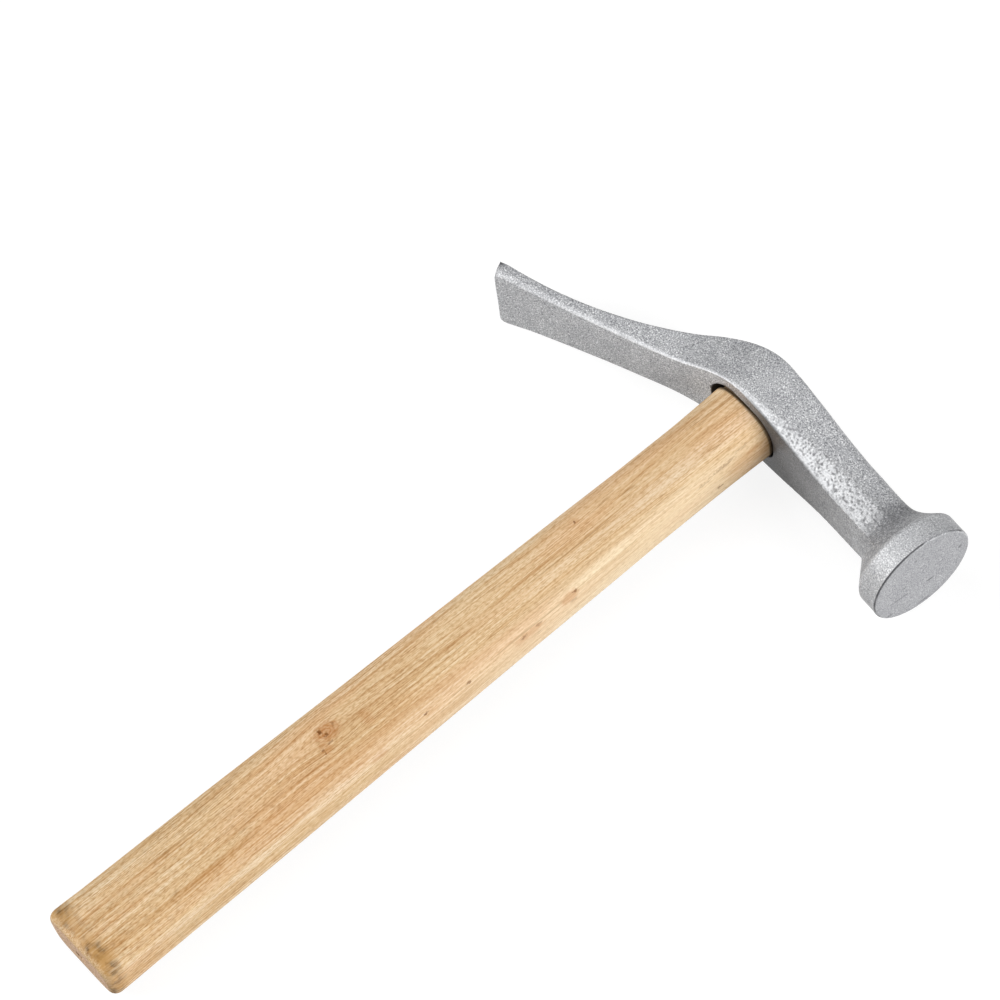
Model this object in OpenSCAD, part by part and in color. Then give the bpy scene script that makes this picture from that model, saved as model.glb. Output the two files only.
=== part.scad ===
// Shoemaker's hammer: a forged head with a round poll and a drooping claw, on a wooden handle.
// It lies on its side. +X runs from the claw to the poll, +Y up the handle from the butt to the
// head, and +Z up through the cheeks. The origin is the middle of the butt end.

/* [Handle] */
// Length from the butt end to the crown of the head's underside
grip_l = 220; // [180:1:260]
// Breadth at the butt, measured along the head
butt_w = 24; // [22:0.5:28]
// Thickness at the butt, measured across the cheeks
butt_t = 17.8; // [16:0.2:20]
// Breadth at the throat, the slimmest place below the head
throat_w = 19; // [17:0.5:20]
// Thickness at the throat
throat_t = 16.6; // [15:0.2:18]
// Distance from the throat up to the head's underside
throat_drop = 38; // [25:1:60]
// Breadth where the handle enters the eye
mouth_w = 21; // [19:0.2:22]
// Thickness where the handle enters the eye
mouth_t = 16.6; // [15:0.2:17.4]
// Squareness of the grip's section, where 2 is an ellipse
grip_square = 4.5; // [3:0.1:7]
// Squareness of the section where the handle enters the eye
mouth_square = 3; // [2.6:0.1:3.2]
// Inset of the rounded bevel around the butt end
butt_bevel = 1.8; // [1:0.1:3]
// Length of that bevel along the handle
butt_bevel_l = 2.6; // [1.5:0.1:4]
// Diameter of the hole left by the lathe centre
centre_d = 3; // [2:0.5:5]
// Depth of the hole left by the lathe centre
centre_depth = 6; // [3:0.5:12]

/* [Head] */
// Depth of the head at the eye, from its underside to its top
head_depth = 14.6; // [13:0.2:18]
// Width across the cheeks at the eye
cheek_w = 26.2; // [24:0.2:30]
// Radius of the bend in the underside
under_r = 40; // [30:1:60]
// Distance of that bend's crown from the handle's axis, towards the claw
under_shift = 3; // [0:0.5:6]
// Radius of the hump on top of the eye
hump_r = 35; // [30:1:45]
// Angle at which the hump falls towards the claw
hump_fall = 37.5; // [34:0.5:42]
// Lean of the facet along the lower edge of each cheek
facet_lean = 15.5; // [8:0.5:20]
// Height of that facet beside the eye, where it is narrowest
facet_h = 0.8; // [0.7:0.1:1.5]
// Rounding of the edges of the underside
under_edge_r = 0.5; // [0.2:0.1:0.5]

/* [Claw] */
// Reach of the claw from the handle's axis
claw_reach = 73.4; // [60:0.2:80]
// Droop of the claw's underside
claw_droop = 19.7; // [16:0.1:23]
// Thickness of the claw at its tip
tip_t = 4.9; // [4:0.1:7]
// Width of the claw at its tip
tip_w = 23.6; // [18:0.2:28]
// Width of the claw at its waist
waist_w = 16.3; // [13:0.1:20]
// Distance of the waist from the handle's axis
waist_reach = 25; // [20:1:30]
// Height of the facet along the lower edge of each cheek, at the tip
tip_facet_h = 1.5; // [1.2:0.1:2.2]
// Rounding of the edges on top of the claw
claw_edge_r = 0.9; // [0.4:0.1:1.2]

/* [Poll] */
// Reach of the striking face from the handle's axis
poll_reach = 63.5; // [56:0.5:75]
// Diameter of the poll
poll_d = 30.4; // [26:0.2:36]
// Length of the poll's rim
rim_l = 6.6; // [4:0.2:9]
// Height of the poll's axis above the underside, where it crosses the handle's axis
arm_rise = 6.6; // [5.4:0.1:7.6]
// Droop of the arm that carries the poll
arm_droop = 4.1; // [2:0.1:6]
// Width of the arm's underside at the neck
neck_w = 15.8; // [13:0.1:17]
// Height of the facet along the lower edge of each cheek, at the neck
neck_facet_h = 6.4; // [4:0.1:7.5]
// Distance of the neck from the handle's axis
neck_reach = 37; // [30:1:42]
// Rounding of the edges on top of the arm, at the neck
neck_edge_r = 3.2; // [1:0.1:3.6]
// Radius of the fillet behind the poll
neck_fillet_r = 9; // [6:0.5:12]

/* [Eye and wedges] */
// Radius of the eye's corners
eye_r = 7; // [6:0.1:7.8]
// Gap left in the eye on the claw side of the handle
eye_gap = 1.5; // [0.6:0.1:2.4]
// Gap around the rest of the handle, where it enters the eye
eye_play = 0.5; // [0.2:0.1:0.8]
// Inset of the tenon from the grip below it
tenon_inset = 0.6; // [0.3:0.1:1]
// Length of the tenon's wedged end, which fills the eye
spread_l = 6.8; // [5:0.2:9]
// Height of the tenon's end above the crest of the head
tenon_proud = 0.4; // [0:0.1:2]
// Depth to which the wooden wedge is driven
wood_wedge_l = 10; // [8:0.5:11]
// Thickness of the wooden wedge at its head
wood_wedge_t = 3.2; // [2:0.1:4.5]
// Depth to which the steel wedges are driven
steel_wedge_l = 7.5; // [5:0.5:9]
// Width of a steel wedge
steel_wedge_w = 11; // [8:0.5:13]
// Thickness of a steel wedge at its head
steel_wedge_t = 2; // [1.2:0.1:3]
// Distance between the steel wedges
steel_wedge_pitch = 11.6; // [9:0.2:13]
// Thickness of a wedge at its point
wedge_point_t = 0.8; // [0.4:0.1:1]

/* [Hidden] */
$fn = 64;

// Height of a curve that is an arc about a crest at zero, with straight tangents on both sides
function crest(u, r, left, right) =
    u < -r * sin(left) ? r * cos(left) - r + (u + r * sin(left)) * tan(left) :
    u > r * sin(right) ? r * cos(right) - r - (u - r * sin(right)) * tan(right) :
    sqrt(r * r - u * u) - r;

// Underside of the head: the claw's straight droop, a bend and the arm's straight droop
arm_under_rise = 0.4;
function under(x) = grip_l + crest(x + under_shift, under_r, claw_droop, arm_droop - arm_under_rise);

// Top of the head: a hump over the eye, which falls into the claw's hollow. The hollow is an arc
// that leaves the hump smoothly and ends at the tip.
tip_x = -claw_reach;
arm_over_fall = 0.7;
function hump(x) = grip_l + head_depth + crest(x, hump_r, hump_fall, arm_droop + arm_over_fall);
hump_end = [-hump_r * sin(hump_fall), hump(-hump_r * sin(hump_fall))];
hump_normal = [-sin(hump_fall), cos(hump_fall)];
tip_top = [tip_x, under(tip_x) + tip_t];
tip_way = tip_top - hump_end;
hollow_r = (tip_way * tip_way) / (2 * tip_way * hump_normal);
hollow_centre = hump_end + hollow_r * hump_normal;
function hollow(x) = hollow_centre.y - sqrt(pow(hollow_r, 2) - pow(x - hollow_centre.x, 2));
function over(x) = x < hump_end.x ? hollow(x) : hump(x);

// Smooth step from 0 to 1 between two places
function ease(x, x0, x1) = (1 - cos(180 * max(0, min(1, (x - x0) / (x1 - x0))))) / 2;
function blend(a, b, share) = a + (b - a) * share;

// Half the width of the underside: flared tip, waist, cheeks and neck
waist_x = -waist_reach;
function half_w(x) =
    x < waist_x ? blend(waist_w, tip_w, pow((x - waist_x) / (tip_x - waist_x), 2)) / 2 :
    x < 0 ? blend(waist_w, cheek_w, ease(x, waist_x, 0)) / 2 :
    blend(cheek_w, neck_w, ease(x, 0, neck_reach)) / 2;

// A facet leans out along the lower edge of each cheek, narrow on the claw and wide on the arm. The
// upper part of the cheek leans back by half as much, and its top edge is rounder on the arm.
facet_r = 1.2;
facet_x = -8;
function facet_height(x) = facet_h
    + (tip_facet_h - facet_h) * ease(x, facet_x, tip_x)
    + (neck_facet_h - facet_h) * ease(x, facet_x, neck_reach);
function top_edge_r(x) = blend(claw_edge_r, neck_edge_r, ease(x, 0, neck_reach));

// Points of an arc about a centre
function arc(centre, r, from, to, steps) =
    [for (i = [0:steps])
        let (a = from + (to - from) * i / steps) centre + r * [cos(a), sin(a)]];

// Corner b of an outline a, b, c, rounded to radius r
function unit(v) = v / norm(v);
function heading(v) = atan2(v.y, v.x);
function turn(angle) = angle > 180 ? angle - 360 : angle < -180 ? angle + 360 : angle;
function rounded(a, b, c, r, steps) =
    let (
        ab = unit(a - b),
        cb = unit(c - b),
        half = acos(ab * cb) / 2,
        centre = b + unit(ab + cb) * r / sin(half),
        start = heading(b + ab * r / tan(half) - centre),
        swing = turn(heading(b + cb * r / tan(half) - centre) - start)
    )
    arc(centre, r, start, start + swing, steps);

// Section of the head at x, with a depth d: underside edge, facet and top edge on each side
function half_section(x, d, inset) =
    let (
        w = half_w(x) - inset,
        lean = facet_height(x) * tan(facet_lean),
        foot = [0, inset],
        low = [w, inset],
        mid = [w + lean, facet_height(x)],
        high = [w + lean / 2, d - inset],
        crown = [0, d - inset]
    )
    concat(
        rounded(foot, low, mid, under_edge_r, 4),
        rounded(low, mid, high, facet_r, 3),
        rounded(mid, high, crown, top_edge_r(x), 4)
    );
function section(x, d, inset) =
    let (side = half_section(x, d, inset), n = len(side))
    concat(side, [for (i = [n - 1:-1:0]) [-side[i].x, side[i].y]]);

// A ring of the head: its plane leans with the claw, so that the tip is cut square
function ring(x, inset) =
    let (
        lean = tan(claw_droop) * ease(x, waist_x, tip_x),
        half = (over(x) - under(x)) / 2,
        low = [x + half * lean, under(x + half * lean)],
        high = [x - half * lean, over(x - half * lean)],
        d = high.y - low.y
    )
    [for (p = section(x, d, inset))
        let (at = low + (high - low) * p.y / d) [at.x, at.y, p.x]];

// Closed solid through a list of rings, each with as many points as the next
module loft(rings) {
    n = len(rings[0]);
    last = len(rings) - 1;
    polyhedron(
        points = [for (one = rings) each one],
        faces = concat(
            [[for (i = [n - 1:-1:0]) i]],
            [for (k = [0:last - 1], i = [0:n - 1])
                let (a = k * n + i, b = k * n + (i + 1) % n) each [[a, b + n, a + n], [a, b, b + n]]],
            [[for (i = [0:n - 1]) last * n + i]]
        )
    );
}

// Claw, cheeks and arm in one piece, which ends inside the poll
tip_edge_r = 0.5;
body_end = poll_reach - rim_l / 2;
body_steps = 44;
module head_body() {
    start = tip_x + tip_edge_r;
    loft(concat(
        [ring(tip_x, tip_edge_r)],
        [ring(tip_x + tip_edge_r / 3, tip_edge_r / 3)],
        [for (i = [0:body_steps]) ring(start + (body_end - start) * i / body_steps, 0)]
    ));
}

// Poll: a disc turned about the arm's axis, with a coned and filleted back
rim_edge = 0.4;
neck_r = 6.8;
neck_cone = 44;
poll_r = poll_d / 2;
neck_start = rim_l + (poll_r - neck_r) / tan(neck_cone) + neck_fillet_r * tan(neck_cone / 2);
face_y = grip_l + arm_rise - poll_reach * tan(arm_droop);
module poll() {
    translate([poll_reach, face_y, 0]) rotate([0, 0, -arm_droop]) rotate([0, -90, 0])
        rotate_extrude() polygon(concat(
            [[0, 0], [poll_r - rim_edge, 0], [poll_r, rim_edge], [poll_r, rim_l]],
            arc([neck_r + neck_fillet_r, neck_start], neck_fillet_r, 180 + neck_cone, 180, 8),
            [[0, neck_start]]
        ));
}

// Oblong outline with round corners, centred at a place along X
module oblong(l, w, r, x) {
    translate([x, 0]) {
        square([l - 2 * r, w], center = true);
        square([l, w - 2 * r], center = true);
        for (sx = [-1, 1], sz = [-1, 1])
            translate([sx * (l / 2 - r), sz * (w / 2 - r)]) circle(r);
    }
}

// Stands a flat outline in X and Z up along Y
module up_handle(y0, y1) {
    translate([0, y0, 0]) rotate([-90, 0, 0]) linear_extrude(y1 - y0) children();
}

// The eye goes right through the head, and is larger than the handle by its gaps
eye_w = mouth_t + 2 * eye_play;
eye_l = mouth_w + eye_gap + eye_play;
eye_x = (eye_play - eye_gap) / 2;
module eye(y0, y1) {
    up_handle(y0, y1) oblong(eye_l, eye_w, eye_r, eye_x);
}

module hammer_head() {
    color("#AEB0B3") difference() {
        union() {
            head_body();
            poll();
        }
        eye(grip_l - head_depth, grip_l + 2 * head_depth);
    }
}

// Section of the grip, an oval with as much squareness as its place asks for
oval_steps = 48;
function bowed(v, n) = sign(v) * pow(abs(v), 2 / n);
function oval(y, w, t, n) =
    [for (i = [0:oval_steps - 1])
        let (a = 360 * i / oval_steps) [w / 2 * bowed(cos(a), n), y, t / 2 * bowed(sin(a), n)]];

// The grip tapers from the butt to the throat and swells again towards the eye
throat_y = grip_l - throat_drop;
taper_bow = 1.2;
function along(y, butt, throat, mouth) =
    y < throat_y ? blend(butt, throat, pow(y / throat_y, taper_bow)) :
    blend(throat, mouth, pow((y - throat_y) / throat_drop, 2));
function grip_ring(y, inset) = oval(
    y,
    along(y, butt_w, throat_w, mouth_w) - 2 * inset,
    along(y, butt_t, throat_t, mouth_t) - 2 * inset,
    blend(grip_square, mouth_square, ease(y, throat_y, grip_l))
);
bevel_steps = 4;
taper_steps = 10;
swell_steps = 8;
module grip() {
    loft(concat(
        [for (i = [0:bevel_steps - 1])
            let (a = 90 * i / bevel_steps) grip_ring(butt_bevel_l * (1 - cos(a)), butt_bevel * (1 - sin(a)))],
        [for (i = [0:taper_steps]) grip_ring(blend(butt_bevel_l, throat_y, i / taper_steps), 0)],
        [for (i = [1:swell_steps]) grip_ring(throat_y + throat_drop * i / swell_steps, 0)]
    ));
}

// The tenon is a little smaller than the grip that it stands on, and its wedged end fills the eye
tenon_root = 4;
top_y = grip_l + head_depth + tenon_proud;
spread_y = top_y - spread_l;
module tenon() {
    up_handle(grip_l - tenon_root, spread_y + tenon_inset)
        oblong(mouth_w - 2 * tenon_inset, mouth_t - 2 * tenon_inset, eye_r - tenon_inset, 0);
    eye(spread_y, top_y);
}

// Taper of a wedge: thick at the tenon's end, thin at its point, with a tail above for a cutter
function wedge_outline(l, t, tail) = [
    [top_y + tail, t / 2],
    [top_y, t / 2],
    [top_y - l, wedge_point_t / 2],
    [top_y - l, -wedge_point_t / 2],
    [top_y, -t / 2],
    [top_y + tail, -t / 2]
];
module wood_wedge_slot(tail) {
    rotate([90, 0, 90]) linear_extrude(2 * eye_l, center = true)
        polygon(wedge_outline(wood_wedge_l, wood_wedge_t, tail));
}
module steel_wedge(side, tail) {
    translate([eye_x + side * steel_wedge_pitch / 2, 0, 0]) linear_extrude(steel_wedge_w, center = true)
        polygon([for (p = wedge_outline(steel_wedge_l, steel_wedge_t, tail)) [p.y, p.x]]);
}
slot_tail = 1;

module handle() {
    color("#D9B27C") difference() {
        union() {
            grip();
            tenon();
        }
        wood_wedge_slot(slot_tail);
        for (side = [-1, 1]) steel_wedge(side, slot_tail);
        translate([0, -centre_depth, 0]) rotate([-90, 0, 0]) cylinder(d = centre_d, h = 2 * centre_depth);
    }
}

module wood_wedge() {
    color("#B98A54") difference() {
        intersection() {
            tenon();
            wood_wedge_slot(0);
        }
        for (side = [-1, 1]) steel_wedge(side, slot_tail);
    }
}

module steel_wedge_front() {
    color("#8F9296") steel_wedge(1, 0);
}

module steel_wedge_back() {
    color("#8F9296") steel_wedge(-1, 0);
}

hammer_head();
handle();
wood_wedge();
steel_wedge_front();
steel_wedge_back();
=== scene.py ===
import math

import bmesh
import bpy
import numpy as np
from mathutils import Matrix, Vector, noise


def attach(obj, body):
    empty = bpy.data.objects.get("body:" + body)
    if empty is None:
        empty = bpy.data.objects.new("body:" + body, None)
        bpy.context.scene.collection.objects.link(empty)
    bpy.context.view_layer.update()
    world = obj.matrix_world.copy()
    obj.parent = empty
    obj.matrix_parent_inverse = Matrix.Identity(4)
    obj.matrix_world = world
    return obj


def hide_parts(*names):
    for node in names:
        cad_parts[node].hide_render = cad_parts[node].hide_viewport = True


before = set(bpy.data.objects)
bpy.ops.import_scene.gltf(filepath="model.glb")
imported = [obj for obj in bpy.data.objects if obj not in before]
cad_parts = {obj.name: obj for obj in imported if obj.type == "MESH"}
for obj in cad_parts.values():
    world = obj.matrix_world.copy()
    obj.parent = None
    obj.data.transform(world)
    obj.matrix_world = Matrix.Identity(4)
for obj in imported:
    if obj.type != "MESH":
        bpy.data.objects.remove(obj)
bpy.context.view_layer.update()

# Hammer head: one drop forging of carbon steel, with a round flat poll on a short arm, a hump over
# the eye and a flat drooping claw. The whole forging is painted silver over its scale and pits.
# The eye goes right through it, and the wedged handle holds it by friction alone.

# The sizes of the pieces are in mm, and their meshes in metres
MM = 0.001
head_depth = 14.6
cheek_w = 26.2
under_r = 40.0
under_shift = 3.0
hump_r = 35.0
hump_fall = math.radians(37.5)
claw_reach = 73.4
claw_droop = math.radians(19.7)
tip_t = 4.9
tip_w = 23.6
waist_w = 16.3
waist_reach = 25.0
poll_reach = 63.5
poll_r = 15.2
rim_l = 6.6
arm_rise = 6.6
arm_droop = math.radians(4.1)
arm_under_rise = math.radians(0.4)
arm_over_fall = math.radians(0.7)
neck_w = 15.8
neck_reach = 37.0
neck_r = 6.8
neck_cone = math.radians(44)
neck_fillet_r = 9.0
grip_l = 220.0  # from the butt end of the handle to the crown of the head's underside


def crest(u, r, left, right):
    """Height of an arc about a crest at zero, with straight tangents beyond both angles"""
    if u < -r * math.sin(left):
        return r * math.cos(left) - r + (u + r * math.sin(left)) * math.tan(left)
    if u > r * math.sin(right):
        return r * math.cos(right) - r - (u - r * math.sin(right)) * math.tan(right)
    return math.sqrt(r * r - u * u) - r


def under(x):
    return grip_l + crest(x + under_shift, under_r, claw_droop, arm_droop - arm_under_rise)


def hump(x):
    return grip_l + head_depth + crest(x, hump_r, hump_fall, arm_droop + arm_over_fall)


# The claw's hollow top is an arc that leaves the hump smoothly and ends at the tip
hump_end = np.array([-hump_r * math.sin(hump_fall), hump(-hump_r * math.sin(hump_fall))])
hump_normal = np.array([-math.sin(hump_fall), math.cos(hump_fall)])
tip_way = np.array([-claw_reach, under(-claw_reach) + tip_t]) - hump_end
hollow_r = tip_way @ tip_way / (2 * tip_way @ hump_normal)
hollow_centre = hump_end + hollow_r * hump_normal


def over(x):
    if x < hump_end[0]:
        return hollow_centre[1] - math.sqrt(hollow_r**2 - (x - hollow_centre[0]) ** 2)
    return hump(x)


def ease(x, start, end):
    """Smooth step from 0 at start to 1 at end"""
    share = min(1.0, max(0.0, (x - start) / (end - start)))
    return (1 - math.cos(math.pi * share)) / 2


def blend(a, b, share):
    return a + (b - a) * share


def half_w(x):
    """Half the width of the underside: flared tip, waist, cheeks at the eye, and neck"""
    if x < -waist_reach:
        flare = ((x + waist_reach) / (waist_reach - claw_reach)) ** 2
        return blend(waist_w, tip_w, flare) / 2
    if x < 0:
        return blend(waist_w, cheek_w, ease(x, -waist_reach, 0)) / 2
    return blend(cheek_w, neck_w, ease(x, 0, neck_reach)) / 2


def corner(a, b, c, r, steps):
    """Points of corner b of an outline a, b, c, rounded to radius r"""
    a, b, c = np.array(a), np.array(b), np.array(c)
    ab = (a - b) / np.linalg.norm(a - b)
    cb = (c - b) / np.linalg.norm(c - b)
    half = math.acos(ab @ cb) / 2
    centre = b + (ab + cb) / np.linalg.norm(ab + cb) * r / math.sin(half)
    out = b + ab * r / math.tan(half) - centre
    back = b + cb * r / math.tan(half) - centre
    start = math.atan2(out[1], out[0])
    swing = (math.atan2(back[1], back[0]) - start + math.pi) % (2 * math.pi) - math.pi
    turns = [start + swing * i / steps for i in range(steps + 1)]
    return [centre + r * np.array([math.cos(t), math.sin(t)]) for t in turns]


def run(a, b, steps):
    """Points between a and b, without the ends"""
    return [blend(np.array(a), np.array(b), i / steps) for i in range(1, steps)]


# A facet leans out along the lower edge of each cheek, narrow on the claw and wide on the arm
facet_lean = math.tan(math.radians(15.5))
facet_x = -8.0
eye_facet_h = 0.8
tip_facet_h = 1.5
neck_facet_h = 6.4
facet_r = 1.2
under_edge_r = 0.5
claw_edge_r = 0.9
neck_edge_r = 3.2


def facet_height(x):
    tip = (tip_facet_h - eye_facet_h) * ease(x, facet_x, -claw_reach)
    return eye_facet_h + tip + (neck_facet_h - eye_facet_h) * ease(x, facet_x, neck_reach)


def half_section(x, d, inset):
    """Half a section of the head, from the middle of the underside to the middle of the top"""
    w = half_w(x) - inset
    lean = facet_height(x) * facet_lean
    foot, crown = (0, inset), (0, d - inset)
    low, mid, high = (w, inset), (w + lean, facet_height(x)), (w + lean / 2, d - inset)
    first = corner(foot, low, mid, under_edge_r, 5)
    second = corner(low, mid, high, facet_r, 4)
    third = corner(mid, high, crown, blend(claw_edge_r, neck_edge_r, ease(x, 0, neck_reach)), 7)
    return (
        [np.array(foot)] + run(foot, first[0], 15) + first
        + run(first[-1], second[0], 26) + second
        + run(second[-1], third[0], 18) + third
        + run(third[-1], crown, 12) + [np.array(crown)]
    )


# The poll's profile: its radius at a distance behind the face. The back is coned and filleted into
# the arm, and its corner with the rim is rounded by the forging die.
neck_start = rim_l + (poll_r - neck_r) / math.tan(neck_cone) + neck_fillet_r * math.tan(neck_cone / 2)
die_r = 0.5


def soft_max(a, b, width):
    """Larger of two lengths, with a fillet where they are nearly equal"""
    near = max(width - abs(a - b), 0.0) / width
    return max(a, b) + near * near * width / 4


def poll_profile(behind):
    if behind >= neck_start:
        return 0.0
    fillet = neck_start - behind
    if fillet < neck_fillet_r * math.sin(neck_cone):
        coned = neck_r + neck_fillet_r - math.sqrt(neck_fillet_r**2 - fillet**2)
    else:
        coned = poll_r - (behind - rim_l) * math.tan(neck_cone)
    return -soft_max(-coned, -poll_r, die_r)


# Rings of the head: their planes lean with the claw, so that its tip is square, and with the arm,
# so that the poll is round. Use has rounded the tip's lower corners and set its lower edge back.
tip_wear = 2.2
tip_wear_w = 3.0
tip_back = 0.8
tip_back_x = -62.0
arm_fillet = 3.5


def head_ring(x, inset=0.0, poll=None):
    lean = math.tan(claw_droop) * ease(x, -waist_reach, -claw_reach)
    lean -= math.tan(arm_droop) * ease(x, 0, neck_reach)
    half = (over(x) - under(x)) / 2
    low = np.array([x + half * lean, under(x + half * lean)])
    high = np.array([x - half * lean, over(x - half * lean)])
    d = high[1] - low[1]
    side = half_section(x, d, inset)
    outline = side + [np.array([-p[0], p[1]]) for p in side[-2:0:-1]]
    worn = tip_wear - math.sqrt(tip_wear**2 - max(0.0, -x - claw_reach + tip_wear) ** 2)
    back = tip_back * ease(x, tip_back_x, -claw_reach)
    points = []
    for across, high_mm in outline:
        share = high_mm / d
        px, py = low + (high - low) * share
        near_edge = ease(abs(across), half_w(x) - tip_wear_w, half_w(x))
        drawn_in = worn * (1 - share) * near_edge / half_w(x)
        points.append((px + (1 - share) * back, py, across * (1 - drawn_in)))
    if poll is None:
        return points
    up = np.array([math.sin(arm_droop), math.cos(arm_droop)])
    centre = np.array([x, grip_l + arm_rise - x * math.tan(arm_droop)])
    swollen = []
    for px, py, pz in points:
        rise = (np.array([px, py]) - centre) @ up
        reach = math.hypot(rise, pz)
        wide = soft_max(reach, poll, arm_fillet) / reach
        swollen.append((*(centre + up * rise * wide), pz * wide))
    return swollen


def spaced(start, end, step):
    return np.linspace(start, end, max(2, int(round(abs(end - start) / step)) + 1))


def shrunk(ring, share):
    """Smaller copy of a ring about its middle"""
    middle = np.mean(ring, axis=0)
    return [tuple(middle + (np.array(p) - middle) * share) for p in ring]


tip_edge = 0.35
tip_ring = head_ring(-claw_reach, tip_edge)
rings = [shrunk(tip_ring, share) for share in (0.08, 0.4, 0.7, 0.9)] + [tip_ring]
for a in (0.5, 1.0):
    rings.append(head_ring(-claw_reach + tip_edge * (1 - math.cos(a)), tip_edge * (1 - math.sin(a))))

# Rings stand closer at the worn tip, around the eye and over the arm's pits: first, last and spacing
head_runs = ((-claw_reach + tip_edge, -60, 0.4), (-59.4, -26, 0.6), (-25.5, 4, 0.45), (4.3, 38, 0.22))
for first, last, step in head_runs:
    rings += [head_ring(x) for x in spaced(first, last, step)]

# Rings of the poll, by their distance behind the face, closest at the rim's corner
poll_runs = ((24.9, rim_l + 1.6, 0.35), (rim_l + 1.45, rim_l - 0.9, 0.15), (rim_l - 1.4, 0.9, 0.5))
for first, last, step in poll_runs:
    for behind in spaced(first, last, step):
        rings.append(head_ring(poll_reach - behind * math.cos(arm_droop), poll=poll_profile(behind)))

face_y = grip_l + arm_rise - poll_reach * math.tan(arm_droop)


def face_ring(radius, depth):
    """Ring on the poll's face, with its points on the same rays as the rim's"""
    along = Vector((math.cos(arm_droop), -math.sin(arm_droop), 0))
    middle = Vector((poll_reach, face_y, 0)) - along * depth
    rim = [Vector(p) for p in rings[-1]]
    rays = [p - middle - along * (p - middle).dot(along) for p in rim]
    return [tuple(middle + ray.normalized() * radius) for ray in rays]


# The rim's front edge is rounded: each ring's inset from the rim, and its depth behind the face
rim_edge = 0.4
edge_steps = ((0, 0.62), (0, 0.42), (0.14, 0.16), (rim_edge, 0.02), (rim_edge + 0.25, 0))
rim_rings = [face_ring(poll_r - inset, depth) for inset, depth in edge_steps]
rim_rings += [face_ring(r, 0) for r in np.linspace(poll_r - 1.2, 0.4, 24)]
rings += rim_rings


def skin(name, rings):
    """Closed mesh over rings of equally many points"""
    count = len(rings[0])
    corners = [tuple(v * MM for v in p) for ring in rings for p in ring]
    faces = [tuple(range(count)), tuple(range(len(corners) - 1, len(corners) - count - 1, -1))]
    for start in range(0, len(corners) - count, count):
        for i in range(count):
            j = (i + 1) % count
            faces.append((start + j, start + i, start + count + i, start + count + j))
    mesh = bpy.data.meshes.new(name)
    mesh.from_pydata(corners, [], faces)
    shell = bmesh.new()
    shell.from_mesh(mesh)
    bmesh.ops.recalc_face_normals(shell, faces=shell.faces)
    shell.to_mesh(mesh)
    shell.free()
    piece = bpy.data.objects.new(name, mesh)
    bpy.context.scene.collection.objects.link(piece)
    return piece


def shift_skin(piece, depth_mm):
    """Moves each point of a piece along its normal by a depth that its place gives, in mm"""
    mesh = piece.data
    places = np.zeros(len(mesh.vertices) * 3)
    mesh.vertices.foreach_get("co", places)
    normals = np.zeros(len(mesh.vertices) * 3)
    mesh.vertex_normals.foreach_get("vector", normals)
    places, normals = places.reshape(-1, 3), normals.reshape(-1, 3)
    depths = np.array([depth_mm(p / MM) for p in places])
    mesh.vertices.foreach_set("co", (places + normals * depths[:, None] * MM).ravel())
    mesh.update()


def behind_face(p):
    """Distance behind the poll's face, and from the poll's axis"""
    away = np.array(p) - np.array([poll_reach, face_y, 0])
    along = -away[0] * math.cos(arm_droop) + away[1] * math.sin(arm_droop)
    return along, math.sqrt(max(0.0, away @ away - along * along))


# The pits reach a little above the facets, higher near the poll, and stop on the poll's coned back
pit_above = 3.0
pit_spread = 4.5
pits_end = neck_start - 8


def pitted(p):
    """How far scale has pitted the skin: most on the facets of the arm, less on its underside"""
    behind = behind_face(p)[0]
    if behind < pits_end:
        return 0.0
    height = p[1] - under(p[0])
    facet = facet_height(p[0])
    spread = pit_spread * ease(p[0], 30, 42)
    lower = ease(height, facet + pit_above + spread, facet - 0.5 + spread / 2)
    shown = blend(0.3, 1.0, ease(height, 0.7, 2.4))
    above = blend(1.0, 0.2, ease(height, facet, facet + pit_above))
    return above * lower * shown * ease(p[0], -2, 22) * ease(behind, pits_end, pits_end + 3)


pit_mm = 0.62
pit_seed = Vector((5, 1, 8))


def pit_depth(p):
    """Depth of the pits, from 0 to 1"""
    hollow = max(0.0, 0.05 + noise.noise(Vector(p) / pit_mm + pit_seed)) / 0.42
    return pitted(p) * min(1.0, hollow)


# Chips at the claw's tip: place, radius and depth
chips = (
    ((-74.0, 201.6, 11.8), 1.6, 0.45),
    ((-66.0, 199.8, 11.6), 0.8, 0.25),
    ((-68.8, 198.7, 11.6), 0.6, 0.2),
    ((-72.3, 196.9, 11.0), 0.7, 0.2),
)
chips_x = -60.0


def chipped(p):
    """Depth of the chips in mm"""
    if p[0] > chips_x:
        return 0.0
    return max(deep * math.exp(-((Vector(p) - Vector(at)).length / r) ** 2) for at, r, deep in chips)


# The inset keeps the unevenness inside the size of the forging, and the face stays flat
uneven_h = 0.05
uneven_l = 7.0
skin_inset = 0.06
pit_h = 0.17
flat_l = 1.2


def forged_skin(p):
    """Hollows of the forging in mm: a slow unevenness all over, pits on the arm and the chips"""
    if behind_face(p)[0] < flat_l:
        return 0.0
    uneven = uneven_h * noise.noise(Vector(p) / uneven_l)
    return uneven - skin_inset - pit_h * pit_depth(p) - chipped(p)


head = skin("forged_head", rings)
shift_skin(head, forged_skin)

# The eye is cut with a rounded mouth on the underside
mouth_w = 21.0
mouth_t = 16.6
eye_gap = 1.5
eye_play = 0.5
eye_w = mouth_t + 2 * eye_play
eye_l = mouth_w + eye_gap + eye_play
eye_x = (eye_play - eye_gap) / 2
eye_r = 7.0
oval_steps = 96


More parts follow.
